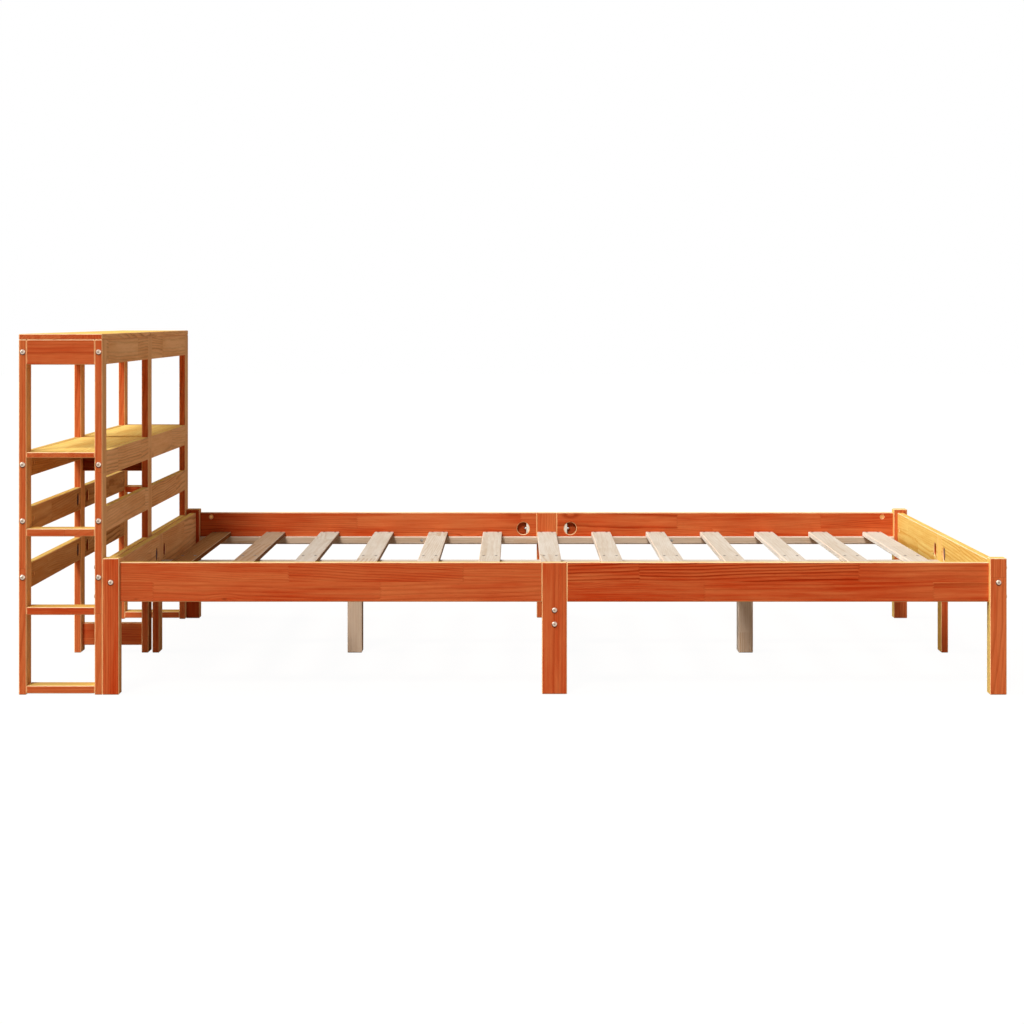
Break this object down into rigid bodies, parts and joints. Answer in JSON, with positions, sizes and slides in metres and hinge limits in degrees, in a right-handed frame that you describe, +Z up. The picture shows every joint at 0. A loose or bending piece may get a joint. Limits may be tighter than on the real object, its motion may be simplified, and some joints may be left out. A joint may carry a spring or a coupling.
{
  "type": "bed frame with headboard",
  "caption": "Slatted softwood bed frame on square legs, with an open bookcase headboard of posts, boards, a shelf and a flat top, bolted together.",
  "frame": {"origin": "on the floor, under the middle of the whole: bed, headboard and bolt heads", "axes": "+X along the bed from headboard to foot, +Y across it to the right side as seen from the foot, +Z up"},
  "size_m": [2.2486, 1.462, 0.82],
  "materials": {
    "stained_wood": "pine boards stained orange-brown, satin, with lighter worn chamfers",
    "pale_wood": "bare planed pine, matte",
    "dowel_wood": "bare beech, matte",
    "bright_steel": "zinc-plated, bright",
    "zinc_plate": "die-cast and plated, satin"
  },
  "bodies": {
    "root": {"corner_leg_head_left": "stained_wood", "corner_leg_head_right": "stained_wood", "corner_leg_foot_left": "stained_wood", "corner_leg_foot_right": "stained_wood", "middle_leg_left": "stained_wood", "middle_leg_right": "stained_wood", "middle_leg_head": "stained_wood", "middle_leg_foot": "stained_wood", "rail_head_left": "stained_wood", "rail_head_right": "stained_wood", "rail_foot_left": "stained_wood", "rail_foot_right": "stained_wood", "head_board_left": "stained_wood", "head_board_right": "stained_wood", "foot_board_left": "stained_wood", "foot_board_right": "stained_wood", "back_post_left": "stained_wood", "back_post_middle": "stained_wood", "back_post_right": "stained_wood", "front_post_left": "stained_wood", "front_post_middle": "stained_wood", "front_post_right": "stained_wood", "back_boards_top": "stained_wood", "back_boards_shelf": "stained_wood", "back_boards_middle": "stained_wood", "back_boards_low": "stained_wood", "front_boards_top": "stained_wood", "front_boards_shelf": "stained_wood", "front_boards_middle": "stained_wood", "front_boards_low": "stained_wood", "apron_left": "stained_wood", "apron_middle": "stained_wood", "apron_right": "stained_wood", "rungs_left": "stained_wood", "rungs_right": "stained_wood", "shelf_bearer": "stained_wood", "bearer_board": "stained_wood", "foot_board_middle": "stained_wood", "shelf_left": "stained_wood", "shelf_right": "stained_wood", "top_left": "stained_wood", "top_right": "stained_wood", "ledger_head_left": "pale_wood", "ledger_head_right": "pale_wood", "ledger_foot_left": "pale_wood", "ledger_foot_right": "pale_wood", "slats": "pale_wood", "centre_beam_head": "pale_wood", "centre_beam_foot": "pale_wood", "centre_leg_head": "pale_wood", "centre_leg_middle": "pale_wood", "centre_leg_foot": "pale_wood", "crossbeam_left": "pale_wood", "crossbeam_right": "pale_wood", "bolts": "bright_steel", "barrel_nuts": "bright_steel", "threaded_rods": "bright_steel", "screws": "bright_steel", "half_moon_nuts": "zinc_plate", "dowels": "dowel_wood"}
  },
  "joints": []
}
